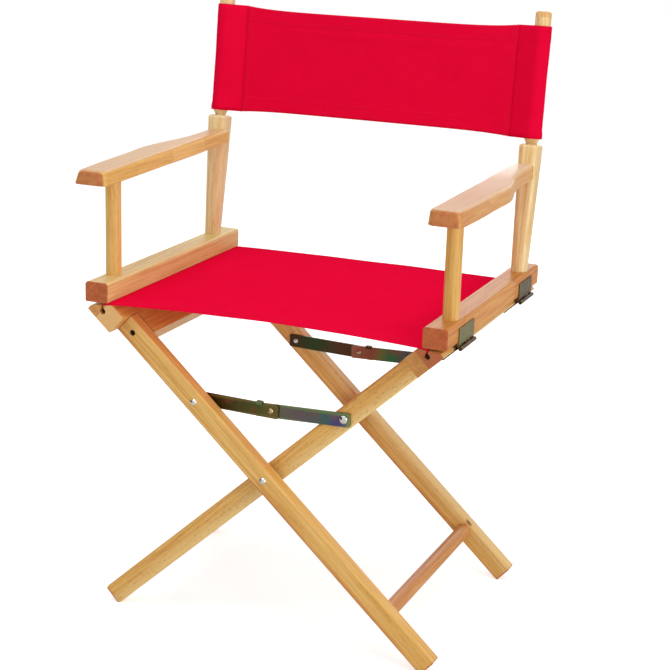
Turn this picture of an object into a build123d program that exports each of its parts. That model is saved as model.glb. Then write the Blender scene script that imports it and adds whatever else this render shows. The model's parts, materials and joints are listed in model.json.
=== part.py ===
from build123d import *
import os
from math import asin, cos, degrees, radians, sin, sqrt, tan

# Folding director's chair: two X frames of hardwood, pivoted where they cross, a pair of
# arm assemblies hinged on top of them, folding stay braces front and back, and a canvas
# seat and back. Millimetres: +X is right as seen from the front, +Y is the back, +Z is up,
# and the origin is on the floor below the middle of the seat. "left" is -X, "right" is +X.
# The left frame's legs are the outer pair, and the right frame's stand just inside them.

os.makedirs("parts", exist_ok=True)

# ---- overall stance
HALF_ANGLE = 47.4            # lean of every leg from the vertical, chair open
ARM_OUTER_X = 264.0          # outer face of each arm rail
RAIL_LENGTH = 421.0          # arm rails and seat rails, front to back

# ---- legs
LEG_W = 31.0                 # across the leg, seen from the front
LEG_T = 22.0                 # front to back
LEG_DOWN = 342.0             # pivot to the end of the foot
LEG_UP = 293.0               # pivot to the top end, where the seat rail sits
LEG_ROUND = 4.0
OUTER_LEG_Y = 190.0          # outer faces of the left frame's legs
LEG_GAP = 5.0                # between the two frames' legs, for the stays
STRETCHER_D = 22.0
STRETCHER_AT = -250.0        # along the leg, below the pivot
TENON_D = 16.0
TENON_IN = 12.0              # depth of a rung's tenon in its leg

# ---- seat rails, drawn across (n) and along (s) the leg
RAIL_TIP = 339.0             # outer end of the section, measured from the pivot
RAIL_DEEP = 37.0             # the section's extra depth between the two legs
RAIL_ROUND = 1.5
FLAT_SLOPE = 6.0             # the sawn top flat falls away to the outside
ROD_AT = (-1.0, 321.0)       # canvas rod's hole
ROD_HOLE_D = 9.0
ROD_D = 5.5
SLOT_W = 3.4                 # saw cut from the flat down to the hole
BOLT_SEAT = 310.0            # connector bolt's head bears here, along the leg

# ---- arm assemblies
ARM_RAIL_W = 34.5
ARM_RAIL_H = 28.5
POST_X = 249.2
FRONT_POST_D = 22.0
FRONT_POST_Y = -156.0
BACK_POST_Y = 157.0
BACK_POST_RAKE = 7.0
SHOULDER_UP = 184.0          # rail top to the shoulder, along the post
SPINDLE_D = 23.0
POST_LENGTH = 372.0          # rail top to the tip, along the post
ARMREST_T = 23.0
ARMREST_UP = 132.5           # rail top to the armrest's underside
ARMREST_RISE = 8.0           # the top climbs this much towards the back post
ARMREST_LIFT = 4.0           # and the underside this much
ARMREST_FRONT_Y = -213.4     # as far forward as the spindles' tips lean back
ARMREST_INNER_X = 231.0
ARMREST_WIDE_X = 276.0       # outer edge in front of the sweep
ARMREST_SLIM_X = 260.0       # outer edge behind it
POST_TENON = 14.5            # into the arm rail below and the armrest above

# ---- canvas
CANVAS_T = 1.1
BACK_BOTTOM = 193.5          # along the post, from the rail top
BACK_TOP = 350.0
SEAT_CROWN = 5.0

# ---- hardware
RUN = 0.05                   # radial clearance of every running fit
SNUG = 0.05                  # radial clearance round tenons, screws and nuts
PIVOT_D = 8.0
STAY_PIN_D = 6.0
STAY_AT = 145.4              # along the leg, above the pivot
STAY_W = 20.0
STAY_T = 2.0
STAY_END = 10.5              # leg pivot to the link's squared end
STAY_DROP = 3.2              # the middle rivet hangs this far below the end rivets
LIP_W = 9.0
LIP_T = 1.6
HINGE_T = 1.6
HINGE_SET = 3.4              # hinge pin's distance from both faces it joins
KNUCKLE_D = 5.4
HINGE_PIN_D = 2.6
HINGE_LENGTH = 62.0
HINGE_Y = (-135.0, 140.0)
HINGE_UP = 27.5              # leaf on the arm rail, from the pin
HINGE_DOWN = 30.0            # leaf on the seat rail, from the pin
SCREW_LENGTH = 12.0
SCREW_R = 1.6
NUT_AT = 274.0               # connector bolt's barrel nut, along the leg
NUT_D = 8.6
BOLT_D = 5.0

C, S = cos(radians(HALF_ANGLE)), sin(radians(HALF_ANGLE))
ROUND_LOSS = LEG_ROUND * (C + S - 1)
PIVOT_Z = LEG_DOWN * C + LEG_W / 2 * S - ROUND_LOSS
ARM_Z = PIVOT_Z + 227.8      # underside of the arm rails
RAIL_TOP_Z = ARM_Z + ARM_RAIL_H
INNER_LEG_Y = OUTER_LEG_Y - LEG_T - LEG_GAP
CANVAS_GAP = CANVAS_T + 0.2  # arm rail to the inner edge of the seat rail's flat
HINGE_N = -LEG_W / 2 - HINGE_SET
HINGE_X = ARM_OUTER_X + HINGE_SET
HINGE_S = (HINGE_X + HINGE_N * C) / S
HINGE_Z = PIVOT_Z + HINGE_S * C + HINGE_N * S


def lean(shape, side):
    """Set a part drawn along the leg (n is X, s is Z, pivot at 0) at its frame's angle."""
    drawn = mirror(shape, about=Plane.YZ) if side > 0 else shape
    return Pos(0, 0, PIVOT_Z) * Rot(0, side * HALF_ANGLE, 0) * drawn


def both_ends(shape):
    """A front piece and its twin at the back."""
    return Compound([shape, mirror(shape, about=Plane.XZ)])


def sided(shape, side):
    return shape if side < 0 else mirror(shape, about=Plane.YZ)


def rod_y(radius, y0, y1, x=0.0, z=0.0):
    length = abs(y1 - y0)
    return Pos(x, (y0 + y1) / 2, z) * Rot(90, 0, 0) * Cylinder(radius, length)


def domed_head(radius, height, y, facing):
    """Shallow button head standing on the plane y, facing -Y (-1) or +Y (+1)."""
    ball = (radius ** 2 + height ** 2) / (2 * height)
    cap = Sphere(ball) & Pos(0, 0, ball) * Box(2 * ball, 2 * ball, 2 * height)
    cap = Pos(0, 0, -(ball - height)) * cap
    return Pos(0, y, 0) * Rot(-90 * facing, 0, 0) * cap


def along_leg(shape, s, n=0.0):
    return Pos(n, 0, s) * shape


def save(shape, name):
    solids = shape.solids()
    out = solids[0] if len(solids) == 1 else Compound(solids)
    out.label = name
    export_step(out, f"parts/{name}.step")
    print(f"{name}: {len(solids)} solid(s), {sum(p.volume for p in solids) / 1000:.1f} cm3")


# ------------------------------------------------------------------ frames

def flat_limits():
    """Where the sawn flat meets the rail's inner face (s) and its outer end (n)."""
    half = LEG_W / 2
    top = ARM_Z - PIVOT_Z - CANVAS_GAP
    s_in = (top - half * S) / C
    x_in = s_in * S - half * C
    slope = tan(radians(FLAT_SLOPE))
    n_out = (top + slope * x_in - RAIL_TIP * (C + slope * S)) / (S - slope * C)
    return s_in, n_out


def rail_bar(s_low, length):
    """The seat rail's section from s_low up to its sawn top flat, rounded along its edges."""
    half = LEG_W / 2
    s_in, n_out = flat_limits()
    section = Polyline(
        (-half, s_low), (half, s_low), (half, s_in), (n_out, RAIL_TIP), (-half, RAIL_TIP),
        close=True,
    )
    bar = extrude(Plane.XZ * make_face(section), amount=length / 2, both=True)
    return fillet(bar.edges().filter_by(Axis.Y), radius=RAIL_ROUND)


def seat_rail(leg_y):
    """Seat rail in leg axes: full depth between the legs, its ends lying on top of them,
    with the canvas hole, its slot, and pockets for two bolts."""
    between = 2 * (leg_y - LEG_T / 2 - 0.3)
    rail = rail_bar(LEG_UP, RAIL_LENGTH) + rail_bar(LEG_UP - RAIL_DEEP, between)
    n, s = ROD_AT
    rail -= rod_y(ROD_HOLE_D / 2, -RAIL_LENGTH, RAIL_LENGTH, n, s)
    slot = Pos(0, 0, 10) * Box(SLOT_W, RAIL_LENGTH + 10, 20)
    rail -= Pos(n, 0, s) * Rot(0, HALF_ANGLE, 0) * slot
    for end in (-1, 1):
        pocket = Pos(0, 0, 20) * Cylinder(6, 40) + Cylinder(BOLT_D / 2 + 0.3, 60)
        rail -= Pos(0, end * leg_y, BOLT_SEAT) * pocket
    for y, dy in hinge_screw_places():
        rail -= at_rail(Pos(HINGE_SET, dy, HINGE_DOWN * 0.62) * screw_pilot(), y)
    return rail


def leg(outward):
    """A front leg in leg axes, centred on y = 0; outward is the face with the nut hole."""
    bar = Pos(0, 0, (LEG_UP - LEG_DOWN) / 2) * Box(LEG_W, LEG_T, LEG_UP + LEG_DOWN)
    foot = bar.edges().group_by(Axis.Z)[0]
    bar = fillet(bar.edges().filter_by(Axis.Z) + foot.filter_by(Axis.Y), radius=LEG_ROUND)
    bar -= rod_y(PIVOT_D / 2 + RUN, -20, 20)
    bar -= along_leg(rod_y(STAY_PIN_D / 2 + RUN, -20, 20), STAY_AT)
    bar -= Pos(0, 0, LEG_UP - 15) * Cylinder(BOLT_D / 2 + 0.3, 34)
    nut_hole = rod_y(NUT_D / 2 + SNUG, outward * (LEG_T / 2 + 1), outward * (LEG_T / 2 - 16))
    bar -= along_leg(nut_hole, NUT_AT)
    return bar


def stretcher_socket(bar, inward):
    face = inward * LEG_T / 2
    socket = rod_y(TENON_D / 2 + SNUG, face - inward * (TENON_IN + 0.2), face + inward)
    return bar - along_leg(socket, STRETCHER_AT)


def stretcher(leg_y):
    """Turned rung with a stepped tenon let into each leg."""
    face = leg_y - LEG_T / 2
    rung = rod_y(STRETCHER_D / 2, -face, face)
    tenon = rod_y(TENON_D / 2, -face - TENON_IN, face + TENON_IN)
    return along_leg(rung + tenon, STRETCHER_AT)


def connector_bolt(y):
    head = Pos(0, 0, 2.1) * Cylinder(5.2, 4)
    shank = Pos(0, 0, -22) * Cylinder(BOLT_D / 2, 44.2)
    socket = Pos(0, 0, 3.2) * extrude(RegularPolygon(2.3, 6), amount=2)
    return Pos(0, y, BOLT_SEAT) * (head + shank - socket)


def barrel_nut(y, outward):
    face = outward * (LEG_T / 2 - 3)
    body = rod_y(NUT_D / 2, face, outward * (LEG_T / 2 - 15.5))
    slot = Pos(0, face, 0) * Box(NUT_D - 2, 2.4, 1.2)
    bore = Cylinder(BOLT_D / 2 + SNUG, 20)
    return Pos(0, y, NUT_AT) * (body - bore - slot)


def build_frame(side, leg_y, name, nut_face):
    """nut_face is the sense of Y the front leg's nut hole faces."""
    front = stretcher_socket(leg(nut_face), 1)
    save(lean(Pos(0, -leg_y, 0) * front, side), f"{name}_front_leg")
    save(lean(mirror(Pos(0, -leg_y, 0) * front, about=Plane.XZ), side), f"{name}_back_leg")
    save(lean(seat_rail(leg_y), side), f"{name}_seat_rail")
    save(lean(stretcher(leg_y), side), f"{name}_stretcher")
    n, s = ROD_AT
    half = RAIL_LENGTH / 2
    save(lean(rod_y(ROD_D / 2, -half + 6, half - 6, n, s), side), f"{name}_canvas_rod")
    save(lean(both_ends(connector_bolt(-leg_y)), side), f"{name}_connector_bolts")
    save(lean(both_ends(barrel_nut(-leg_y, nut_face)), side), f"{name}_barrel_nuts")


# ------------------------------------------------------------------ pivots

def pivot_screw():
    """Front pivot: button head outside and a plain shank through both legs."""
    front = -OUTER_LEG_Y
    inner = -INNER_LEG_Y + LEG_T
    head = domed_head(5.0, 2.8, front, -1)
    hexagon = Rot(90, 0, 0) * extrude(RegularPolygon(2.4, 6), amount=1.6, both=True)
    head -= Pos(0, front - 3.0, 0) * hexagon
    shank = rod_y(PIVOT_D / 2, front, inner + 8)
    return head + shank


def pivot_nut():
    inner = -INNER_LEG_Y + LEG_T
    washer = rod_y(8.5, inner + 0.3, inner + 1.7)
    nut = Rot(90, 0, 0) * extrude(RegularPolygon(7.5, 6), amount=3, both=True)
    nut = Pos(0, inner + 4.7, 0) * nut
    return washer + nut - rod_y(PIVOT_D / 2 + 0.02, inner - 5, inner + 12)


def pivot_washer():
    back = -OUTER_LEG_Y + LEG_T
    ring = rod_y(9.5, back, back + LEG_GAP - 0.3)
    return ring - rod_y(PIVOT_D / 2 + RUN, back - 1, back + LEG_GAP + 1)


# ------------------------------------------------------------------ stays

HALF_SPAN = STAY_AT * S
STAY_LENGTH = sqrt(HALF_SPAN ** 2 + STAY_DROP ** 2)
STAY_SLOPE = degrees(asin(STAY_DROP / STAY_LENGTH))
LAYER_A = OUTER_LEG_Y - LEG_T - 0.3          # outer face of the left link, from the middle
LAYER_B = LAYER_A - STAY_T - 0.3             # outer face of the right link


def stay_link(overrun, lip):
    """Stamped link along +X with its leg pivot at 0, drawn as the front left one.

    overrun is the tongue past the middle rivet, and lip hooks over the other link's top edge.
    """
    y = -LAYER_A
    long = STAY_END + STAY_LENGTH + overrun
    bar = Box(long, STAY_T, STAY_W, align=(Align.MIN, Align.MIN, Align.CENTER))
    corners = bar.edges().filter_by(Axis.Y)
    link = Pos(-STAY_END, y, 0) * fillet(corners, radius=3.0)
    if lip:
        link += Pos(STAY_LENGTH, 0, 0) * Rot(0, -2 * STAY_SLOPE, 0) * stop_lip(overrun)
    for x in (0, STAY_LENGTH):
        link -= rod_y(STAY_PIN_D / 2 + RUN, y - 9, y + 9, x)
    return link


def stop_lip(overrun):
    """Lip on a tongue, from the middle rivet, along the other link once the stay is open."""
    y = -LAYER_A
    edge = STAY_W / 2 + 0.25
    reach = LAYER_A - LAYER_B + 0.25 + LIP_T
    top = Box(LIP_W, reach + STAY_T, LIP_T, align=(Align.MAX, Align.MIN, Align.MIN))
    hook = Box(LIP_W, LIP_T, 3.2 + LIP_T, align=(Align.MAX, Align.MIN, Align.MAX))
    root = Box(LIP_W, STAY_T, 4.0, align=(Align.MAX, Align.MIN, Align.MAX))
    bend = Pos(0, y - reach, edge) * (top + Pos(0, 0, LIP_T) * hook)
    front_edge = bend.edges().filter_by(Axis.X).sort_by(lambda e: e.center().Z - e.center().Y)[-1]
    bend = fillet(front_edge, radius=LIP_T * 0.8)
    return Pos(overrun - 3, 0, 0) * (bend + Pos(0, y, edge + 0.5) * root)


def at_stay_pivot(shape, side):
    """Put a link drawn along +X at the left leg's stay hole, or its mirror at the right."""
    placed = Pos(-HALF_SPAN, 0, PIVOT_Z + STAY_AT * C) * Rot(0, STAY_SLOPE, 0) * shape
    return sided(placed, side)


def middle_rivet():
    """Through both links, headed at each end."""
    head = domed_head(4.3, 2.4, -LAYER_A, -1)
    tail = domed_head(3.4, 1.2, -LAYER_B + STAY_T, 1)
    shank = rod_y(STAY_PIN_D / 2, -LAYER_A - 0.5, -LAYER_B + STAY_T + 0.2)
    return Pos(0, 0, PIVOT_Z + STAY_AT * C - STAY_DROP) * (head + shank + tail)


def leg_bolt():
    """Button-headed bolt through a left leg, riveted over behind the link."""
    behind = -LAYER_A + STAY_T + RUN
    head = domed_head(4.8, 2.6, -OUTER_LEG_Y, -1)
    shank = rod_y(STAY_PIN_D / 2, -OUTER_LEG_Y, behind + 0.5)
    tail = domed_head(3.6, 1.0, behind, 1)
    return along_leg(head + shank + tail, STAY_AT)


def end_rivet():
    """Right link's rivet: its head, and the shank as far as the link's back."""
    head = domed_head(5.8, 2.4, -LAYER_B, -1)
    shank = rod_y(STAY_PIN_D / 2, -LAYER_B - 0.5, -LAYER_B + STAY_T)
    return Pos(HALF_SPAN, 0, PIVOT_Z + STAY_AT * C) * (head + shank)


def build_stays():
    step = LAYER_A - LAYER_B
    plain = stay_link(12, False)
    tongued = stay_link(24, True)
    # Front: the left link lies outside and the right one carries the stop lip.
    save(at_stay_pivot(plain, -1), "front_stay_left_link")
    save(at_stay_pivot(Pos(0, step, 0) * tongued, 1), "front_stay_right_link")
    # Back: the stay is the same one turned over, so its left link has the lip, folded inwards.
    inward = mirror(tongued, about=Plane.XZ.offset(LAYER_A - STAY_T / 2))
    save(at_stay_pivot(mirror(inward, about=Plane.XZ), -1), "back_stay_left_link")
    plain_back = mirror(Pos(0, step, 0) * plain, about=Plane.XZ)
    save(at_stay_pivot(plain_back, 1), "back_stay_right_link")
    save(middle_rivet(), "front_stay_middle_rivet")
    save(mirror(middle_rivet(), about=Plane.XZ), "back_stay_middle_rivet")
    save(end_rivet(), "front_stay_end_rivet")
    save(mirror(end_rivet(), about=Plane.XZ), "back_stay_end_rivet")
    save(lean(both_ends(leg_bolt()), -1), "stay_leg_bolts")


# ------------------------------------------------------------------ hinges

def knuckles(arm_half):
    """Alternate knuckles of one leaf, round the pin on the Y axis, for one hinge."""
    pitch = HINGE_LENGTH / 5
    out = []
    for i in range(5):
        if (i % 2 == 0) == arm_half:
            start = -HINGE_LENGTH / 2 + i * pitch
            out.append(rod_y(KNUCKLE_D / 2, start + 0.15, start + pitch - 0.15))
    return out


def hinge_leaf(arm_half, reach):
    """A leaf rising from the pin in +Z on the side x = +HINGE_SET (the wood's face)."""
    plate = Box(HINGE_T, HINGE_LENGTH, reach - 1.2, align=(Align.MAX, Align.CENTER, Align.MIN))
    leaf = Pos(HINGE_SET, 0, 1.2) * plate
    pitch = HINGE_LENGTH / 5
    for i in range(5):
        if (i % 2 == 0) != arm_half:
            y = -HINGE_LENGTH / 2 + (i + 0.5) * pitch
            leaf -= Pos(HINGE_SET, y, 0) * Box(8, pitch + 0.3, 8.6)
    outer = leaf.edges().filter_by(Axis.X).group_by(Axis.Z)[-1]
    leaf = fillet(outer, radius=2.0)
    for y in (-HINGE_LENGTH / 4, HINGE_LENGTH / 4):
        leaf -= Pos(HINGE_SET - HINGE_T, y, reach * 0.62) * screw_hole()
    for barrel in knuckles(arm_half):
        leaf += barrel
    return leaf - rod_y(HINGE_PIN_D / 2 + RUN, -HINGE_LENGTH, HINGE_LENGTH)


def screw_hole():
    """Countersunk hole from a leaf's outer face at x = 0."""
    return Rot(0, 90, 0) * (Cylinder(SCREW_R + 0.3, 8) + Pos(0, 0, 0.7) * Cone(3.3, 1.9, 1.4))


def screw_pilot():
    """Hole for a screw in the wood, whose face is at x = 0."""
    return Rot(0, 90, 0) * Cylinder(SCREW_R + SNUG, 2 * SCREW_LENGTH - 2)


def wood_screw():
    """Countersunk screw pointing +X, its head flush with x = 0."""
    shank_end = SCREW_LENGTH - 2
    head = Pos(0, 0, 0.7) * Cone(3.15, 1.7, 1.4)
    shank = Pos(0, 0, (1.2 + shank_end) / 2) * Cylinder(SCREW_R, shank_end - 1.2)
    point = Pos(0, 0, shank_end + 1) * Cone(SCREW_R, 0.3, 2)
    return Rot(0, 90, 0) * (head + shank + point)


def hinge_screw_places():
    """Each screw's hinge centre and its offset from it, both along Y."""
    return [(y, dy) for y in HINGE_Y for dy in (-HINGE_LENGTH / 4, HINGE_LENGTH / 4)]


def at_arm(shape, y):
    """From hinge axes to the left arm rail's outer face."""
    return Pos(-HINGE_X, y, HINGE_Z) * shape


def at_rail(shape, y):
    """From hinge axes, leaf up, to the left seat rail's outer-lower face, in leg axes."""
    turned = mirror(shape, about=Plane.XY)
    return Pos(HINGE_N, y, HINGE_S) * turned


def build_hinges(side, arm, frame):
    face = HINGE_SET - HINGE_T
    pin = rod_y(HINGE_PIN_D / 2, -HINGE_LENGTH / 2 - 1.5, HINGE_LENGTH / 2 + 1.5)
    upper, lower = hinge_leaf(True, HINGE_UP), hinge_leaf(False, HINGE_DOWN)
    arm_screws, rail_screws = [], []
    for y, dy in hinge_screw_places():
        arm_screws.append(at_arm(Pos(face, dy, HINGE_UP * 0.62) * wood_screw(), y))
        rail_screws.append(at_rail(Pos(face, dy, HINGE_DOWN * 0.62) * wood_screw(), y))
    save(sided(Compound([at_arm(upper, y) for y in HINGE_Y]), side), f"{arm}_hinge_leaves")
    save(sided(Compound([at_arm(pin, y) for y in HINGE_Y]), side), f"{arm}_hinge_pins")
    save(sided(Compound(arm_screws), side), f"{arm}_hinge_screws")
    save(lean(Compound([at_rail(lower, y) for y in HINGE_Y]), side), f"{frame}_hinge_leaves")
    save(lean(Compound(rail_screws), side), f"{frame}_hinge_screws")


# ------------------------------------------------------------------ arms

def arm_rail():
    x = -ARM_OUTER_X + ARM_RAIL_W / 2
    rail = Pos(x, 0, ARM_Z + ARM_RAIL_H / 2) * Box(ARM_RAIL_W, RAIL_LENGTH, ARM_RAIL_H)
    long_edges = rail.edges().filter_by(Axis.Y)
    rail = fillet(long_edges.group_by(Axis.Z)[-1], radius=4.5)
    rail = fillet(rail.edges().filter_by(Axis.Y).group_by(Axis.Z)[0], radius=2.0)
    ends = rail.faces().sort_by(Axis.Y)
    rail = fillet(ends[0].edges() + ends[-1].edges(), radius=1.6)
    tenon_hole = Cylinder(TENON_D / 2 + SNUG, 2 * POST_TENON + 1)
    rail -= Pos(-POST_X, FRONT_POST_Y, RAIL_TOP_Z) * tenon_hole
    rail -= back_post_axes(tenon_hole)
    for y, dy in hinge_screw_places():
        rail -= at_arm(Pos(HINGE_SET, dy, HINGE_UP * 0.62) * screw_pilot(), y)
    return rail


def front_post():
    post = Pos(0, 0, ARMREST_UP / 2) * Cylinder(FRONT_POST_D / 2, ARMREST_UP)
    tenon = Pos(0, 0, ARMREST_UP / 2) * Cylinder(TENON_D / 2, ARMREST_UP + 2 * POST_TENON)
    return Pos(-POST_X, FRONT_POST_Y, RAIL_TOP_Z) * (post + tenon)


def back_post_axes(shape):
    """From a post's own axes, foot at 0, to the left back post's raked position."""
    return Pos(-POST_X, BACK_POST_Y, RAIL_TOP_Z) * Rot(-BACK_POST_RAKE, 0, 0) * shape


def back_post():
    """Turned foot flowing into a flat-sided shoulder, then a V neck and a spindle."""
    low = Pos(0, 0, -4) * RectangleRounded(24, 24, 11.9)
    mid = Pos(0, 0, 86) * RectangleRounded(26.5, 28.5, 9)
    high = Pos(0, 0, SHOULDER_UP) * RectangleRounded(29, 32, 6)
    blade = loft([low, mid, high])
    top_face = blade.faces().sort_by(Axis.Z)[-1]
    blade = fillet(top_face.edges(), radius=4.5)
    up, r = SHOULDER_UP, SPINDLE_D / 2
    profile = Polyline(
        (0, up - 6), (8, up - 6), (8, up + 1.5), (r, up + 8), (r, POST_LENGTH), (0, POST_LENGTH),
        close=True,
    )
    spindle = revolve(Plane.XZ * make_face(profile), Axis.Z)
    tip = spindle.edges().group_by(Axis.Z)[-1]
    spindle = fillet(tip, radius=3.0)
    post = back_post_axes(blade + spindle)
    post -= Pos(-POST_X, BACK_POST_Y, RAIL_TOP_Z - 20) * Box(80, 80, 40)
    tenon = Cylinder(TENON_D / 2, POST_TENON + 4, align=(Align.CENTER, Align.CENTER, Align.MAX))
    return post + back_post_axes(Pos(0, 0, 4) * tenon)


def armrest_plan(back):
    """Outline from above: straight inside, an S sweep outside, rounded front corners."""
    front, wide, slim, inner = ARMREST_FRONT_Y, ARMREST_WIDE_X, ARMREST_SLIM_X, ARMREST_INNER_X
    middle = (wide + slim) / 2
    outline = Curve() + [
        Line((-inner, front), (3 - wide, front)),
        Bezier((3 - wide, front), (-wide, -170), (-wide, -130), (-wide, -80)),
        Bezier((-wide, -80), (-wide, -20), (3 - wide, 5), (-middle, 35)),
        Bezier((-middle, 35), (-slim - 3, 65), (-slim, 85), (-slim, 130)),
        Line((-slim, 130), (-slim, back)),
        Line((-slim, back), (1.5 - inner, back)),
        Line((1.5 - inner, back), (-inner, front)),
    ]
    plan = make_face(outline)
    return fillet(plan.vertices().sort_by(Axis.Y)[:2], radius=9)


def armrest_side(under, back):
    """Outline from the side: level in front, climbing in an S towards the back post."""
    front, top = ARMREST_FRONT_Y - 1, under + ARMREST_T
    high, low = top + ARMREST_RISE, under + ARMREST_LIFT
    outline = Curve() + [
        Line((front, under), (front, top)),
        Line((front, top), (-40, top)),
        Bezier((-40, top), (15, top), (35, high), (95, high)),
        Line((95, high), (back + 1, high)),
        Line((back + 1, high), (back + 1, low)),
        Line((back + 1, low), (110, low)),
        Bezier((110, low), (70, low), (0, under), (-60, under)),
        Line((-60, under), (front, under)),
    ]
    return Plane.YZ * make_face(outline)


def rim(board, back, upper):
    """Edges where the sides meet the top (or the underside), all but those at the back."""
    walls = [f for f in board.faces() if abs(f.normal_at().Z) < 0.1 and f.center().Y < back - 1]
    edges = [e for wall in walls for e in wall.edges() if abs(e.tangent_at(0.5).Z) < 0.9]
    middle = RAIL_TOP_Z + ARMREST_UP + ARMREST_T / 2
    return [e for e in edges if (e.center().Z > middle) == upper]


def armrest():
    """Board with its swept edge and climbing top, butted to the back post."""
    under = RAIL_TOP_Z + ARMREST_UP
    back = BACK_POST_Y + tan(radians(BACK_POST_RAKE)) * (ARMREST_UP + ARMREST_T) - 8
    board = extrude(Pos(0, 0, under - 10) * armrest_plan(back), amount=60)
    board &= extrude(armrest_side(under, back), amount=-300)
    board = fillet(rim(board, back, True), radius=6.5)
    board = fillet(rim(board, back, False), radius=1.5)
    board -= Pos(-POST_X, FRONT_POST_Y, under) * Cylinder(TENON_D / 2 + SNUG, 2 * POST_TENON + 1)
    return board - back_post()


# ------------------------------------------------------------------ canvas

def sleeve():
    """Hemmed tube round a spindle, drawn in post axes, its seam towards the chair's middle."""
    r = SPINDLE_D / 2 + 0.2
    seam = 34.0

    def drop(radius, tail, half):
        tip = Pos(tail, 0) * Rectangle(0.2, 2 * half)
        return make_face(make_hull((Circle(radius) + tip).edges()))

    ring = drop(r + CANVAS_T, seam, CANVAS_T) - drop(r, seam - 9, 0.1)
    tall = BACK_TOP - BACK_BOTTOM
    return back_post_axes(extrude(Pos(0, 0, BACK_BOTTOM) * ring, amount=tall))


def back_panel():
    """Flat back canvas between the two sleeves' seams, on the posts' raked plane."""
    half = POST_X - 34.0 - 0.2
    tall = BACK_TOP - BACK_BOTTOM
    panel = Box(2 * half, CANVAS_T, tall, align=(Align.CENTER, Align.CENTER, Align.MIN))
    panel = Pos(POST_X, 0, BACK_BOTTOM) * panel
    return back_post_axes(panel)


def seat_canvas():
    """Seat: a crowned sheet, its ends turned down through the slots and round the rods."""
    n, s = ROD_AT
    x = -(s * S - n * C)
    z = PIVOT_Z + s * C + n * S
    low, t = ARM_Z - 0.1 - CANVAS_T, CANVAS_T
    edge = 221.0
    loops = []
    for k in (-1, 1):
        cx = k * -x
        ring = Circle(ROD_D / 2 + 0.15 + t) + Pos(0, (low - z) / 2) * Rectangle(2 * t, low - z + t)
        loops.append(Pos(cx, z) * (ring - Circle(ROD_D / 2 + 0.15)))
        over = Pos((cx + k * edge) / 2, low + t / 2)
        loops.append(over * Rectangle(abs(abs(cx) - edge) + 2 * t, t))
    top = ThreePointArc((-edge, low + t), (0, low + t + SEAT_CROWN), (edge, low + t))
    under = ThreePointArc((-edge, low), (0, low + SEAT_CROWN), (edge, low))
    left = Line((-edge, low), (-edge, low + t))
    right = Line((edge, low), (edge, low + t))
    section = make_face(Curve() + [top, under, left, right])
    for piece in loops:
        section += piece
    sheet = extrude(Plane.XZ * section, amount=RAIL_LENGTH / 2 - 0.5, both=True)
    # The hemmed front and back edges draw in a little between the rails.
    for k in (-1, 1):
        bow = ThreePointArc((-edge, k * 210), (0, k * 202), (edge, k * 210))
        rest = Polyline((-edge, k * 210), (-edge, k * 230), (edge, k * 230), (edge, k * 210))
        cut = make_face(Curve() + [bow, rest])
        sheet -= extrude(Pos(0, 0, low - 20) * cut, amount=60)
    return sheet


# ------------------------------------------------------------------ assembly

def main():
    build_frame(-1, OUTER_LEG_Y - LEG_T / 2, "left_frame", -1)
    build_frame(1, INNER_LEG_Y - LEG_T / 2, "right_frame", 1)
    save(Pos(0, 0, PIVOT_Z) * both_ends(pivot_screw()), "pivot_screws")
    save(Pos(0, 0, PIVOT_Z) * both_ends(pivot_nut()), "pivot_nuts")
    save(Pos(0, 0, PIVOT_Z) * both_ends(pivot_washer()), "pivot_washers")
    build_stays()
    for side, arm, frame in ((-1, "left_arm", "left_frame"), (1, "right_arm", "right_frame")):
        build_hinges(side, arm, frame)
        save(sided(arm_rail(), side), f"{arm}_rail")
        save(sided(front_post(), side), f"{arm}_front_post")
        save(sided(back_post(), side), f"{arm}_back_post")
        save(sided(armrest(), side), f"{arm}_rest")
        save(sided(sleeve(), side), f"{arm}_back_sleeve")
    save(back_panel(), "back_canvas")
    save(seat_canvas(), "seat_canvas")


main()
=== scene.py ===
import bmesh
import bpy
import json
import math
from mathutils import Matrix, Vector


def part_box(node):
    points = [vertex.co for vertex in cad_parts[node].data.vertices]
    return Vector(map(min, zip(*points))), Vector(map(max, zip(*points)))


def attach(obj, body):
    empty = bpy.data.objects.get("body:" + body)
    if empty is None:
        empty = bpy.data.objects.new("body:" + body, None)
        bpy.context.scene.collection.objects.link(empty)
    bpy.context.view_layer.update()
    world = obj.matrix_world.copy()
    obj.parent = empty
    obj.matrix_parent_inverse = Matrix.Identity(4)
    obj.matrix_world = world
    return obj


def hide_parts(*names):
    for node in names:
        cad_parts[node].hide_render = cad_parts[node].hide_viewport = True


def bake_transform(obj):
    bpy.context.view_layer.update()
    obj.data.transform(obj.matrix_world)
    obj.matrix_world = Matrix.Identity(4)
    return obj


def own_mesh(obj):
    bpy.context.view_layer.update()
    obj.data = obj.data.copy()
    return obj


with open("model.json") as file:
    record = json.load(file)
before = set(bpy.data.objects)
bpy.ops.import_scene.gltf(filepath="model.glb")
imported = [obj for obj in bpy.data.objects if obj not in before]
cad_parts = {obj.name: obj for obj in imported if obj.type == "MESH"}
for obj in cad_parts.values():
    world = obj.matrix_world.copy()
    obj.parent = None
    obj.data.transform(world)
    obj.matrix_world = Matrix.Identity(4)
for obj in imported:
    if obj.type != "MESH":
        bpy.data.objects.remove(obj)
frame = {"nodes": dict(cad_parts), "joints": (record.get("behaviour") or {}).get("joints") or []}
bpy.context.view_layer.update()
nodes = frame["nodes"]
pivot = Vector(next(j["pos_m"] for j in frame["joints"] if j["name"] == "fold"))

calc, mixer, stretch = "ShaderNodeMath", "ShaderNodeMix", "ShaderNodeMapRange"
vectorCalc, noise, ramp = "ShaderNodeVectorMath", "ShaderNodeTexNoise", "ShaderNodeValToRGB"


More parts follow.
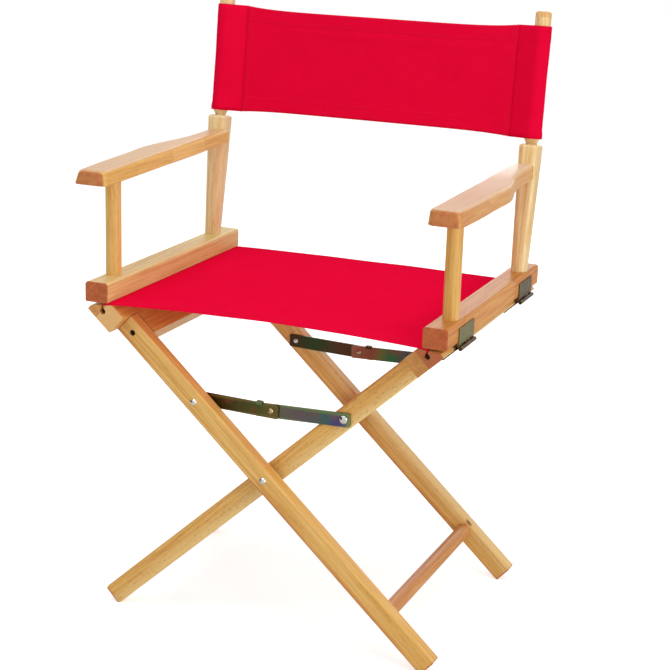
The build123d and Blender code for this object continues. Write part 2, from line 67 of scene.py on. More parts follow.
def srgb(code):
    # "#d8a869" to linear RGBA
    parts = [int(code[i:i + 2], 16) / 255 for i in (1, 3, 5)]
    return tuple(c / 12.92 if c <= 0.04045 else ((c + 0.055) / 1.055) ** 2.4 for c in parts) + (1.0,)


def add(tree, kind, settings=None, links=None):
    # one node with its settings, attributes or input values, and what feeds its inputs
    node = tree.nodes.new(kind)
    for key, value in (settings or {}).items():
        if key == "stops":
            stops = node.color_ramp.elements
            for i, (at, colour) in enumerate(value):
                stop = stops[i] if i < 2 else stops.new(at)
                stop.position = at
                stop.color = srgb(colour) if isinstance(colour, str) else (colour, colour, colour, 1)
        elif isinstance(key, str) and hasattr(node, key):
            setattr(node, key, value)
        else:
            node.inputs[key].default_value = srgb(value) if isinstance(value, str) else value
    for key, source in (links or {}).items():
        if not isinstance(source, bpy.types.NodeSocket):
            source = next(s for s in source.outputs if s.enabled)
        tree.links.new(source, node.inputs[key])
    return node


def newMaterial(name, settings):
    material = bpy.data.materials.new(name)
    material.use_nodes = True
    tree = material.node_tree
    tree.nodes.clear()
    shader = add(tree, "ShaderNodeBsdfPrincipled", settings)
    add(tree, "ShaderNodeOutputMaterial", links={"Surface": shader})
    return material, tree, shader


def meshPiece(name, points, faces, material):
    mesh = bpy.data.meshes.new(name)
    mesh.from_pydata([tuple(p) for p in points], [], faces)
    mesh.materials.append(material)
    mesh.polygons.foreach_set("use_smooth", [True] * len(mesh.polygons))
    piece = bpy.data.objects.new(name, mesh)
    bpy.context.scene.collection.objects.link(piece)
    return piece


def bake(piece):
    # its modifiers into a plain mesh, so that nothing live is left on it
    bpy.context.view_layer.update()
    evaluated = piece.evaluated_get(bpy.context.evaluated_depsgraph_get())
    mesh = bpy.data.meshes.new_from_object(evaluated)
    piece.modifiers.clear()
    piece.data = mesh
    return piece


def dress(node, material):
    nodes[node].data.materials.clear()
    nodes[node].data.materials.append(material)


# lacquered rubberwood, a pale golden hardwood, planed, sanded and sprayed with a clear
# gloss lacquer. It gives the eye soft streaks along the grain, short brown pores, staves of
# slightly different tone, a smooth red-brown end grain and a highlight along every edge.

woodLook = {
    "pale": "#e8be70",
    "base": "#d8a250",
    "dark": "#bd7e38",
    "pore": "#96602c",
    "glue": "#a06a34",
    "knot": "#6b3010",
    "endLine": "#80461f",
    "endLight": "#c07748",
    "endDark": "#a65a34",
    "lowerEdgeRunAndShade": "#b9602c",
    "sapwoodAndHighlight": "#edcf8e",
    "sapwoodAndHighlightBand": None,        # mm across where the paler band starts and where it is full: sapwood, and a painted highlight along that edge
    "bandWidth": 9.0,       # mm between growth bands
    "poreWidth": 1.5,       # mm cell; a pore is a third of it, drawn coarse enough to show
    "poreLength": 16.0,
    "pores": 0.4,
    "staveLength": 4000.0,  # mm between finger joints; longer than the piece is one stave
    "finger": 3.8,          # mm pitch of the fingers
    "contrast": 1.0,
    "tone": 0.0,
    "halfWidth": 0.0,       # mm to the lower edge, where the finish has run and is warmer, with painted shade on that edge too
    "warmWidth": 9.0,       # mm of that warmer, darker tone
    "endSplit": None,       # mm across the end where one stave meets the next, and its colour
    "knots": (),            # (place in metres, radius in mm)
    "paintedTopSheen": None,      # colour painted on an upward face: a painted reflection of the light on its lacquer
    "specular": 0.2,
    "coat": 0.32,
    "coatRoughness": 0.14,
}


def rubberwood(name, piece):
    # grain and across are unit directions, centre a point on the piece's axis in metres, and
    # reach the piece's ends in mm along the grain
    look = {**woodLook, **piece}
    seed, tone = look["seed"], look["tone"]
    material, tree, shader = newMaterial(name, {
        "IOR": 1.5, "Coat Weight": look["coat"], "Coat Roughness": look["coatRoughness"],
        "Specular IOR Level": look["specular"]})
    grain, across, centre = (Vector(look[k]) for k in ("grain", "across", "centre"))
    depth = grain.cross(across)
    place = add(tree, "ShaderNodeTexCoord").outputs["Object"]
    moved = add(tree, vectorCalc, {"operation": "SUBTRACT", 1: centre}, {0: place})
    mm = add(tree, vectorCalc, {"operation": "SCALE", "Scale": 1000.0}, {0: moved})
    a, d, g = [add(tree, vectorCalc, {"operation": "DOT_PRODUCT", 1: axis}, {0: mm}).outputs["Value"]
               for axis in (across, depth, grain)]
    plank = add(tree, "ShaderNodeCombineXYZ", links={0: a, 1: d, 2: g})

    # staves, each with its own luck
    saw = add(tree, calc, {"operation": "PINGPONG", 1: look["finger"] / 2}, {0: d})
    tooth = add(tree, calc, {"operation": "MULTIPLY_ADD", 1: 4.6}, {0: saw, 2: g})
    run = add(tree, calc, {"operation": "MULTIPLY_ADD", 1: 1 / look["staveLength"], 2: 8 + 0.37 * seed},
              {0: tooth})
    stave = add(tree, calc, {"operation": "FLOOR"}, {0: run})
    number = add(tree, calc, {"operation": "ADD", 1: seed * 7.31}, {0: stave})
    dice = add(tree, "ShaderNodeTexWhiteNoise", {"noise_dimensions": "1D"}, {"W": number})
    luck = dice.outputs["Value"]
    jump = add(tree, vectorCalc, {"operation": "SCALE", "Scale": 300.0}, {0: dice.outputs["Color"]})
    near = add(tree, calc, {"operation": "PINGPONG", 1: 0.5}, {0: run})
    joint = add(tree, stretch, {1: 1.0 / look["staveLength"], 2: 0.3 / look["staveLength"]}, {0: near})

    # streaks and growth bands, drawn out along the grain
    shifted = add(tree, vectorCalc, {"operation": "ADD"}, {0: plank, 1: jump})
    fibre = add(tree, vectorCalc, {"operation": "MULTIPLY", 1: (1.0, 1.0, 0.035)}, {0: shifted})
    streak = add(tree, noise, {"Scale": 0.26, "Detail": 4.0, "Roughness": 0.6}, {"Vector": fibre})
    fine = add(tree, noise, {"Scale": 1.5, "Detail": 3.0, "Roughness": 0.6}, {"Vector": fibre})
    sway = add(tree, noise, {"Scale": 0.11, "Detail": 1.0}, {"Vector": fibre})
    heart = add(tree, vectorCalc, {"operation": "MULTIPLY_ADD", 1: (60.0, 40.0, 0.0),
                                   2: (10.0, 25.0, 0.0)}, {0: dice.outputs["Color"]})
    off = add(tree, vectorCalc, {"operation": "MULTIPLY_ADD", 1: (1.0, 1.0, 0.0)}, {0: plank, 2: heart})
    radius = add(tree, vectorCalc, {"operation": "LENGTH"}, {0: off})
    swayed = add(tree, calc, {"operation": "MULTIPLY", 1: 3.0}, {0: sway})
    rings = add(tree, calc, {"operation": "MULTIPLY_ADD", 1: 1 / look["bandWidth"]},
                {0: radius.outputs["Value"], 2: swayed})
    ring = add(tree, calc, {"operation": "FRACT"}, {0: rings})
    rise = [(0.0, 0.0), (1.0, 0.1), (0.5, 0.25), (0.85, 0.9), (0.94, 1.0)]      # slow, then a sharp end
    band = add(tree, ramp, {"stops": rise}, {0: ring})

    # pores in short dashes, crowded where a streak is dark
    cell = (1 / look["poreWidth"], 1 / look["poreWidth"], 1 / look["poreLength"])
    cells = add(tree, vectorCalc, {"operation": "MULTIPLY", 1: cell}, {0: shifted})
    pit = add(tree, "ShaderNodeTexVoronoi", {"Scale": 1.0, "Randomness": 1.0}, {"Vector": cells})
    dash = add(tree, stretch, {1: 0.32, 2: 0.12}, {0: pit.outputs["Distance"]})
    crowd = add(tree, stretch, {1: 0.40, 2: 0.62, 3: 0.15, 4: 1.0}, {0: streak})
    pore = add(tree, calc, {"operation": "MULTIPLY"}, {0: dash, 1: crowd})

    # tone from pale to dark
    contrast = look["contrast"]
    shade = add(tree, calc, {"operation": "MULTIPLY_ADD", 1: 1.5 * contrast,
                             2: 0.36 + tone - 0.75 * contrast}, {0: streak})
    for source, share in ((band, 0.14 * contrast), (fine, 0.34), (luck, 0.34)):
        part = add(tree, calc, {"operation": "MULTIPLY_ADD", 1: share, 2: -share / 2}, {0: source})
        shade = add(tree, calc, {"operation": "ADD"}, {0: shade, 1: part})
    tones = [(0.0, look["pale"]), (1.0, look["dark"]), (0.45, look["base"])]
    colour = add(tree, ramp, {"stops": tones}, {0: shade})
    # the lower edge drawn warmer and darker: partly the finish run thicker there, partly painted shade
    # along the underside
    if look["halfWidth"]:
        half, wide = look["halfWidth"], look["warmWidth"]
        rim = add(tree, stretch, {1: wide - half, 2: -half, 4: 0.8}, {0: a})
        streakPatch = add(tree, stretch, {1: 0.36, 2: 0.56}, {0: streak})
        edge = add(tree, calc, {"operation": "MULTIPLY"}, {0: rim, 1: streakPatch})
        colour = add(tree, mixer, {"data_type": "RGBA", 7: look["lowerEdgeRunAndShade"]}, {0: edge, 6: colour})
    # paler band along one edge: paler sapwood, and a painted highlight where the light runs along that
    # edge
    if look["sapwoodAndHighlightBand"]:
        start, full = look["sapwoodAndHighlightBand"]
        wander = add(tree, calc, {"operation": "MULTIPLY_ADD", 1: 9.0, 2: -4.5}, {0: sway})
        swung = add(tree, calc, {"operation": "ADD"}, {0: a, 1: wander})
        paleBandMask = add(tree, stretch, {1: start, 2: full, 4: 0.6}, {0: swung})
        colour = add(tree, mixer, {"data_type": "RGBA", 7: look["sapwoodAndHighlight"]}, {0: paleBandMask, 6: colour})
    spots = add(tree, calc, {"operation": "MULTIPLY", 1: look["pores"]}, {0: pore})
    colour = add(tree, mixer, {"data_type": "RGBA", 7: look["pore"]}, {0: spots, 6: colour})
    glue = add(tree, calc, {"operation": "MULTIPLY", 1: 0.5}, {0: joint})
    colour = add(tree, mixer, {"data_type": "RGBA", 7: look["glue"]}, {0: glue, 6: colour})
    for spot, size in look["knots"]:
        away = (Vector(spot) - centre) * 1000
        mid = (away.dot(across), away.dot(depth), away.dot(grain))
        gap = add(tree, vectorCalc, {"operation": "SUBTRACT", 1: mid}, {0: plank})
        oval = add(tree, vectorCalc, {"operation": "MULTIPLY", 1: (1.0, 1.0, 0.45)}, {0: gap})
        wobble = add(tree, calc, {"operation": "MULTIPLY_ADD", 1: size * 1.2, 2: -size * 0.6},
                     {0: fine})
        far = add(tree, vectorCalc, {"operation": "LENGTH"}, {0: oval})
        edge = add(tree, calc, {"operation": "ADD"}, {0: far.outputs["Value"], 1: wobble})
        knot = add(tree, stretch, {1: size * 1.5, 2: size * 0.6, 4: 0.85}, {0: edge})
        colour = add(tree, mixer, {"data_type": "RGBA", 7: look["knot"]}, {0: knot, 6: colour})
    # painted reflection: faces turned upward are drawn paler, for the light their lacquer reflects
    if look["paintedTopSheen"]:
        normal = add(tree, "ShaderNodeNewGeometry").outputs["Normal"]
        facing = add(tree, "ShaderNodeSeparateXYZ", links={0: normal})
        topSheenMask = add(tree, stretch, {1: 0.55, 2: 0.95, 4: 0.7}, {0: facing.outputs["Z"]})
        colour = add(tree, mixer, {"data_type": "RGBA", 7: look["paintedTopSheen"]}, {0: topSheenMask, 6: colour})

    # end grain
    start, finish = look["reach"]
    lowTip = add(tree, stretch, {1: start + 2.4, 2: start + 1.2}, {0: g})
    highTip = add(tree, stretch, {1: finish - 2.4, 2: finish - 1.2}, {0: g})
    tip = add(tree, calc, {"operation": "MAXIMUM"}, {0: lowTip, 1: highTip})
    arcs = add(tree, calc, {"operation": "MULTIPLY", 1: 0.4}, {0: band})
    cloud = add(tree, noise, {"Scale": 0.09, "Detail": 2.0}, {"Vector": plank})
    patch = add(tree, stretch, {1: 0.35, 2: 0.65}, {0: cloud})
    endShade = add(tree, calc, {"operation": "MULTIPLY_ADD", 1: 0.6}, {0: patch, 2: arcs})
    end = add(tree, mixer, {"data_type": "RGBA", 6: look["endLight"], 7: look["endDark"]},
              {0: endShade})
    if look["endSplit"]:
        at, other = look["endSplit"]
        beyond = add(tree, stretch, {1: at - 0.4, 2: at + 0.4}, {0: d})
        end = add(tree, mixer, {"data_type": "RGBA", 7: other}, {0: beyond, 6: end})
        line = add(tree, calc, {"operation": "COMPARE", 1: at, 2: 0.5}, {0: d})
        faint = add(tree, calc, {"operation": "MULTIPLY", 1: 0.5}, {0: line})
        end = add(tree, mixer, {"data_type": "RGBA", 7: look["endLine"]}, {0: faint, 6: end})
    colour = add(tree, mixer, {"data_type": "RGBA"}, {0: tip, 6: colour, 7: end})
    tree.links.new(colour.outputs[2], shader.inputs["Base Color"])

    # the surface under the lacquer
    rough = add(tree, calc, {"operation": "MULTIPLY_ADD", 1: 0.12, 2: 0.34}, {0: fine})
    tree.links.new(rough.outputs[0], shader.inputs["Roughness"])
    sunk = add(tree, calc, {"operation": "ADD"}, {0: pore, 1: joint})
    height = add(tree, calc, {"operation": "MULTIPLY_ADD", 1: -1.0}, {0: sunk, 2: fine})
    bump = add(tree, "ShaderNodeBump", {"Strength": 0.14, "Distance": 0.0004}, {"Height": height})
    tree.links.new(bump.outputs[0], shader.inputs["Normal"])
    return material


legLean = math.radians(47.4)
sinLean, cosLean = math.sin(legLean), math.cos(legLean)
rake = math.radians(7.0)
leftUp, rightUp = (-sinLean, 0, cosLean), (sinLean, 0, cosLean)         # along each frame's legs
leftOut, rightOut = (cosLean, 0, sinLean), (-cosLean, 0, sinLean)       # across them
postUp = (0, math.sin(rake), math.cos(rake))
back, right = (0, 1, 0), (1, 0, 0)

# redder boards, paler ones, and the palest post; the back posts' paler tones partly stand for the broad
# soft light on them, as painted highlight
orangeWood = {"pale": "#dca766", "base": "#cf8f4c", "dark": "#b46c34"}
creamWood = {"pale": "#f0d9a6", "base": "#e3bd7e", "dark": "#cb9750"}
palestWood = {"pale": "#f2e0b6", "base": "#e8cb92", "dark": "#d2a462"}
redEnd = {"endLight": "#c46a40", "endDark": "#a4542f"}
paleEnd = {"endLight": "#e6bd80", "endDark": "#cf9c58"}

# how each kind of piece lies, with its ends in mm from its centre; an end at 400 doesn't show
leftLeg = {"grain": leftUp, "across": leftOut, "reach": (-342, 293)}
rightLeg = {"grain": rightUp, "across": rightOut, "reach": (-342, 293)}
leftRail = {"grain": back, "across": leftOut, "reach": (-210.5, 210.5)}
rightRail = {**leftRail, "across": rightOut}
armRail = {**leftRail, **redEnd, "across": right}
stretcher = {**orangeWood, "grain": back, "across": right, "reach": (-400, 400), "coat": 0.15}
frontPost = {"grain": (0, 0, 1), "across": right, "reach": (-400, 400)}
backPost = {**paleEnd, "grain": postUp, "across": right, "reach": (-400, 186.5)}
armBoard = {"grain": back, "across": right, "reach": (-190.7, 400), "coatRoughness": 0.3,
            "endLight": "#c98048", "endDark": "#b56a3a"}

woodPieces = {
    "left_frame_front_leg": {**leftLeg, "seed": 3, "halfWidth": 15.5, "pores": 0.45},
    "left_frame_back_leg": {
        **leftLeg, "seed": 8, "halfWidth": 15.5, "pores": 0.5, "sapwoodAndHighlightBand": (2.0, 12.0),
        "knots": (((0.1912, 0.1700, 0.0857), 2.6),)},
    "right_frame_front_leg": {
        **rightLeg, "seed": 5, "pores": 0.9, "poreLength": 12.0, "tone": -0.06,
        "sapwoodAndHighlightBand": (1.0, -9.0)},
    "right_frame_back_leg": {**rightLeg, "seed": 11, "halfWidth": 15.5, "pores": 0.6},
    "left_frame_seat_rail": {
        **leftRail, "seed": 2, "coat": 0.1, "endLight": "#d8a05c", "endDark": "#b9713c",
        "endSplit": (-7.0, "#e2b273")},
    "right_frame_seat_rail": {
        **rightRail, "seed": 13, "coat": 0.1, "endLight": "#c58a4c", "endDark": "#b0763c",
        "endSplit": (-2.0, "#b0623c")},
    "left_frame_stretcher": {**stretcher, "seed": 4, "tone": 0.1},
    "right_frame_stretcher": {**stretcher, "seed": 9},
    # the left arm rail drawn paler and yellower: painted light that offsets the red light the seat
    # throws on its inner face
    "left_arm_rail": {
        **armRail, "pale": "#efd69a", "base": "#e4c482", "dark": "#cc9c5a", "seed": 6,
        "coat": 0.06, "specular": 0.15, "pores": 0.6, "poreLength": 6.0},
    "right_arm_rail": {
        **armRail, "pale": "#d89c56", "base": "#c67f3c", "dark": "#ac602a", "seed": 7,
        "coat": 0.05, "specular": 0.1, "staveLength": 230.0},
    "left_arm_front_post": {**frontPost, "seed": 10, "pores": 0.6},
    "right_arm_front_post": {**frontPost, "seed": 12, "pores": 0.2},
    # the back posts drawn paler: partly their own stock, partly painted highlight
    "left_arm_back_post": {**backPost, **palestWood, "seed": 14},
    "right_arm_back_post": {**backPost, **creamWood, "seed": 15, "contrast": 1.3},
    "left_arm_rest": {
        **armBoard, "pale": "#e9c272", "base": "#dcae58", "dark": "#c0883c",
        "paintedTopSheen": "#cfa580", "seed": 16, "staveLength": 105.0},
    "right_arm_rest": {
        **armBoard, **orangeWood, "paintedTopSheen": "#dfceb6", "seed": 17, "staveLength": 260.0},
}
railAlong = 0.316           # m from the pivots to the middle of a seat rail's end, along the legs

woodLooks = {}
for node, piece in woodPieces.items():
    low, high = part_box(node)
    piece["centre"] = (low + high) / 2
    if "leg" in node:
        piece["centre"] = Vector((pivot.x, piece["centre"].y, pivot.z))
    if "seat_rail" in node:
        up = Vector(leftUp if "left" in node else rightUp)
        piece["centre"] = Vector((0, 0, pivot.z)) + up * railAlong
    words = node.replace("_", " ").title().replace(" ", "")
    woodLooks[node] = rubberwood("lacqueredRubberwood" + words, piece)
    dress(node, woodLooks[node])
print("wood dressed:", len(woodPieces), "pieces")


# the armrests, swept boards that climb evenly to the back posts

armrestShape = {
    # lift is how far the underside stands above the solid's at the front post, slope its climb
    # to the back, and flare how much further the outer side stands out below than above
    "left": {"lift": 0.0030, "slope": 0.0223, "thick": 0.0205, "flare": 0.0070},
    "right": {"lift": 0.0, "slope": 0.0055, "thick": 0.0225, "flare": 0.0028},
    "flareEnds": (-0.12, 0.06),
    "innerFlare": 0.0025,
    "innerEnds": (0.05, 0.14),
    "bulge": (0.0045, -0.012, 0.045),   # how far the outer side swells, where, and over what length
    "nip": (0.0010, -0.235, 0.060),     # and how it draws in at the front corner
    "outer": (0.243, 0.258),            # from the chair's middle, where the outer side's moves grow
    "inner": (0.231, 0.240),
    "underClimb": (0.004, -0.060, 0.110),   # the solid board's own climb, and from where to where
    "topClimb": (0.008, -0.040, 0.095),
}


def smoothRise(value, start, end):
    t = max(0.0, min(1.0, (value - start) / (end - start)))
    return t * t * (3 - 2 * t)


def reshape(node, name, move):
    # a copy of a board or post with each point moved, its shading made afresh
    piece = bpy.data.objects.new(name, nodes[node].data.copy())
    bpy.context.scene.collection.objects.link(piece)
    shell = bmesh.new()
    shell.from_mesh(piece.data)
    bmesh.ops.remove_doubles(shell, verts=shell.verts, dist=0.00001)
    for vert in shell.verts:
        vert.co = move(vert.co)
    shell.to_mesh(piece.data)
    shell.free()
    if "custom_normal" in piece.data.attributes:
        piece.data.attributes.remove(piece.data.attributes["custom_normal"])
    piece.data.polygons.foreach_set("use_smooth", [True] * len(piece.data.polygons))
    piece.data.set_sharp_from_angle(angle=math.radians(32))     # above it an edge stays crisp
    piece.modifiers.new("evenShading", "WEIGHTED_NORMAL").keep_sharp = True
    piece.data.materials.clear()
    piece.data.materials.append(woodLooks[node])
    return bake(piece)


def hump(value, size, middle, length):
    return size * math.exp(-((value - middle) / length) ** 2)


def buildArmrest(side, look=armrestShape):
    node = side + "_arm_rest"
    low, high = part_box(node)
    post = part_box(side + "_arm_front_post")
    postAt, own = (post[0].y + post[1].y) / 2, look[side]
    boardUnder, boardTop = low.z, high.z
    underRise, topRise = look["underClimb"], look["topClimb"]

    def move(spot):
        # the even slope takes the place of the board's own climb
        x, y = abs(spot.x), spot.y
        under = boardUnder + underRise[0] * smoothRise(y, *underRise[1:])
        top = boardTop - topRise[0] + topRise[0] * smoothRise(y, *topRise[1:])
        share = (spot.z - under) / (top - under)
        z = boardUnder + own["lift"] + own["slope"] * (y - postAt) + share * own["thick"]
        out = hump(y, *look["bulge"])
        out -= hump(y, *look["nip"])
        out += own["flare"] * (1 - share) * (1 - smoothRise(y, *look["flareEnds"]))
        out *= smoothRise(x, *look["outer"])
        within = (1 - smoothRise(x, *look["inner"])) * (1 - smoothRise(y, *look["innerEnds"]))
        out -= look["innerFlare"] * (1 - share) * within
        return Vector((spot.x + (out if spot.x > 0 else -out), y, z))

    return reshape(node, side + "Armrest", move)


def buildFrontPost(side, look=armrestShape):
    # the post's upper end reaches the board's new underside
    node = side + "_arm_front_post"
    low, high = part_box(node)
    start, full = low.z + 0.04, high.z - 0.03

    def move(spot):
        return spot + Vector((0, 0, look[side]["lift"] * smoothRise(spot.z, start, full)))

    return reshape(node, side + "FrontPost", move)


armrests = {side: buildArmrest(side) for side in ("left", "right")}
leftFrontPost = buildFrontPost("left")
print("armrests shaped:", [len(piece.data.polygons) for piece in armrests.values()], "faces")


# stamped steel, zinc plated and yellow passivated. It gives the eye olive and brown with a satin
# sheen, and slow green, violet and rose clouds where the film is thicker

steelLook = {
    "bare": "#b5a87c",      # where the film is scuffed
    "scuff": 0.30,
    "trims": (),            # (height where a second tone starts, height where it is full, colour)
    "scale": 18.0,          # clouds to a metre
    "axis": 0,
    "drift": (0.0, 0.0, 0.0),
}


def passivatedSteel(name, node, piece):
    # the film's colours run along axis (0 for x, 1 for y, 2 for z) from one end to the other
    look = {**steelLook, **piece}
    axis = look["axis"]
    low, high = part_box(node)
    material, tree, shader = newMaterial(name, {"Metallic": 1.0})
    place = add(tree, "ShaderNodeTexCoord").outputs["Object"]
    moved = add(tree, "ShaderNodeMapping", {"Location": look["drift"]}, {"Vector": place})
    clouds = add(tree, noise, {"Scale": look["scale"], "Detail": 2.0, "Roughness": 0.5},
                 {"Vector": moved})
    split = add(tree, "ShaderNodeSeparateXYZ", links={0: place})
    along = add(tree, stretch, {1: low[axis], 2: high[axis], 3: -0.25, 4: 0.75},
                {0: split.outputs[axis]})
    waver = add(tree, calc, {"operation": "MULTIPLY_ADD", 1: 0.5}, {0: clouds, 2: along})
    count = len(look["film"]) - 1
    order = [0, count] + list(range(1, count))
    film = add(tree, ramp, {"stops": [(i / count, look["film"][i]) for i in order]}, {0: waver})
    film.color_ramp.interpolation = "EASE"
    rosy = add(tree, noise, {"Scale": look["scale"] * 2.1, "Detail": 2.0}, {"Vector": moved})
    patch = add(tree, stretch, {1: 0.55, 2: 0.72, 4: 0.6}, {0: rosy})
    colour = add(tree, mixer, {"data_type": "RGBA", 7: look["cloud"]}, {0: patch, 6: film})
    for start, full, tint in look["trims"]:
        trim = add(tree, stretch, {1: start, 2: full, 4: 0.7}, {0: split.outputs["Z"]})
        colour = add(tree, mixer, {"data_type": "RGBA", 7: tint}, {0: trim, 6: colour})
    scuff = add(tree, noise, {"Scale": 420.0, "Detail": 3.0, "Roughness": 0.7}, {"Vector": place})
    rub = add(tree, stretch, {1: 0.62, 2: 0.8, 4: look["scuff"]}, {0: scuff})
    colour = add(tree, mixer, {"data_type": "RGBA", 7: look["bare"]}, {0: rub, 6: colour})
    tree.links.new(colour.outputs[2], shader.inputs["Base Color"])
    rough = add(tree, calc, {"operation": "MULTIPLY_ADD", 1: 0.2, 2: 0.26}, {0: scuff})
    tree.links.new(rough.outputs[0], shader.inputs["Roughness"])
    bump = add(tree, "ShaderNodeBump", {"Strength": 0.1, "Distance": 0.0002}, {"Height": scuff})
    tree.links.new(bump.outputs[0], shader.inputs["Normal"])
    return material


def plainSteel(name, light, dark, roughness):
    # headed or turned steel with its plating: duller spots break up the highlight on a dome
    material, tree, shader = newMaterial(name, {"Metallic": 1.0})
    place = add(tree, "ShaderNodeTexCoord").outputs["Object"]
    mottle = add(tree, noise, {"Scale": 380.0, "Detail": 3.0, "Roughness": 0.65}, {"Vector": place})
    colour = add(tree, mixer, {"data_type": "RGBA", 6: dark, 7: light}, {0: mottle})
    tree.links.new(colour.outputs[2], shader.inputs["Base Color"])
    rough = add(tree, calc, {"operation": "MULTIPLY_ADD", 1: 0.14, 2: roughness}, {0: mottle})
    tree.links.new(rough.outputs[0], shader.inputs["Roughness"])
    bump = add(tree, "ShaderNodeBump", {"Strength": 0.08, "Distance": 0.0002}, {"Height": mottle})
    tree.links.new(bump.outputs[0], shader.inputs["Normal"])
    return material


boltZinc = plainSteel("brightZincPlatedSteel", "#e6e6e4", "#b9b6b2", 0.12)
rivetZinc = plainSteel("yellowPassivatedSteelRivet", "#c6b98c", "#8a7c55", 0.20)
hingeZinc = plainSteel("yellowPassivatedSteelScrew", "#857c52", "#5d5637", 0.30)
pinSteel = plainSteel("brownPassivatedSteelPin", "#6b4438", "#41281f", 0.30)
# near black: a blackened finish on the barrel nuts, and painted shade for the rails' holes that the
# rods and nuts sit in
blackSteelAndHoleShade = plainSteel("blackenedSteelAndHoleShade", "#3a3430", "#1d1917", 0.40)
washerSteel = plainSteel("dullZincWasherSteel", "#b3b6b8", "#84878b", 0.32)

linkEdge = {
    "wide": 0.022,          # the most that a link's own width can be, without its lip
    "start": 0.0062,        # from its middle to where the edge's tone starts
    "full": 0.0095,
}


def linkTrims(node, tint):
    # a second tone along a link's two long edges; its lip stands above the upper one
    low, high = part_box(node)
    middle = (low.z + min(high.z, low.z + linkEdge["wide"])) / 2
    start, full = linkEdge["start"], linkEdge["full"]
    return ((middle + start, middle + full, tint), (middle - start, middle - full, tint))


linkPieces = {
    "front_stay_left_link": {
        "film": ["#241a12", "#3d3a1e", "#524a28", "#48522a", "#6a5f34"], "cloud": "#7d4630",
        "drift": (0.3, 0.1, 0.2), "trims": linkTrims("front_stay_left_link", "#7d6f3e")},
    "front_stay_right_link": {
        "film": ["#56683a", "#5a6656", "#6a6258", "#665c5c", "#4c6460", "#524b7c", "#9aa648"],
        "cloud": "#7d5750", "drift": (1.7, 0.5, 0.9),
        "trims": linkTrims("front_stay_right_link", "#6f8a4e")},
    "back_stay_left_link": {
        "film": ["#4a3322", "#36452a", "#573a26", "#4c3722"], "cloud": "#5e3a26",
        "drift": (2.3, 1.1, 0.4)},
    "back_stay_right_link": {
        "film": ["#9a5f4c", "#8a4f3c", "#6d6a3c", "#3f6a4a", "#4a5a6a", "#3d4030"],
        "cloud": "#8a4436", "drift": (3.1, 0.7, 1.6)},
}
upperLeaves = {
    "film": ["#857a40", "#6f6a38", "#6a5a30", "#5c4426"], "cloud": "#5d7a3e",
    "scale": 34.0, "axis": 1, "drift": (4.2, 0.3, 0.8)}
lowerLeaves = {
    "film": ["#5f4034", "#503c2e", "#5a4c32", "#523828"], "cloud": "#6c423c",
    "scale": 34.0, "axis": 1, "drift": (6.4, 1.4, 0.5)}
knuckleBrownAndShade = "#553a2c"     # the rolled knuckles under the upper leaves are drawn browner and darker: their own browner film, and painted shade under the leaves

metalPieces = {}
for node, piece in linkPieces.items():
    end, side = node.split("_")[0].title(), node.split("_")[2].title()
    metalPieces[node] = passivatedSteel("passivatedSteel" + end + side + "Link", node, piece)
for side in ("left", "right"):
    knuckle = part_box(side + "_arm_hinge_leaves")[0].z
    trims = ((knuckle + 0.0085, knuckle + 0.0060, knuckleBrownAndShade),)
    node = side + "_arm_hinge_leaves"
    metalPieces[node] = passivatedSteel(
        "passivatedSteelUpperLeaves" + side.title(), node, {**upperLeaves, "trims": trims})
    node = side + "_frame_hinge_leaves"
    metalPieces[node] = passivatedSteel(
        "passivatedSteelLowerLeaves" + side.title(), node, lowerLeaves)
    metalPieces[side + "_arm_hinge_pins"] = pinSteel
    metalPieces[side + "_arm_hinge_screws"] = hingeZinc
    metalPieces[side + "_frame_hinge_screws"] = hingeZinc
    metalPieces[side + "_frame_canvas_rod"] = blackSteelAndHoleShade
    metalPieces[side + "_frame_barrel_nuts"] = blackSteelAndHoleShade
    metalPieces[side + "_frame_connector_bolts"] = boltZinc
for node in ("front_stay_middle_rivet", "back_stay_middle_rivet"):
    metalPieces[node] = rivetZinc
for node in ("front_stay_end_rivet", "back_stay_end_rivet", "stay_leg_bolts", "pivot_screws",
             "pivot_nuts"):
    metalPieces[node] = boltZinc
metalPieces["pivot_washers"] = washerSteel
for node, material in metalPieces.items():
    dress(node, material)
print("metal dressed:", len(metalPieces), "pieces")


# cotton duck canvas, a heavy plain weave, dyed red. It gives the eye a dead matt, even
# colour, a fine checker of threads close to, slubs, and hems of doubled cloth.

canvasLook = {
    "thread": 1.0,          # mm between threads, twice the real 0.5 so that it shows
    "colour": "#e80a37",
    "gap": "#cf0730",
    "slub": "#ee2248",
}


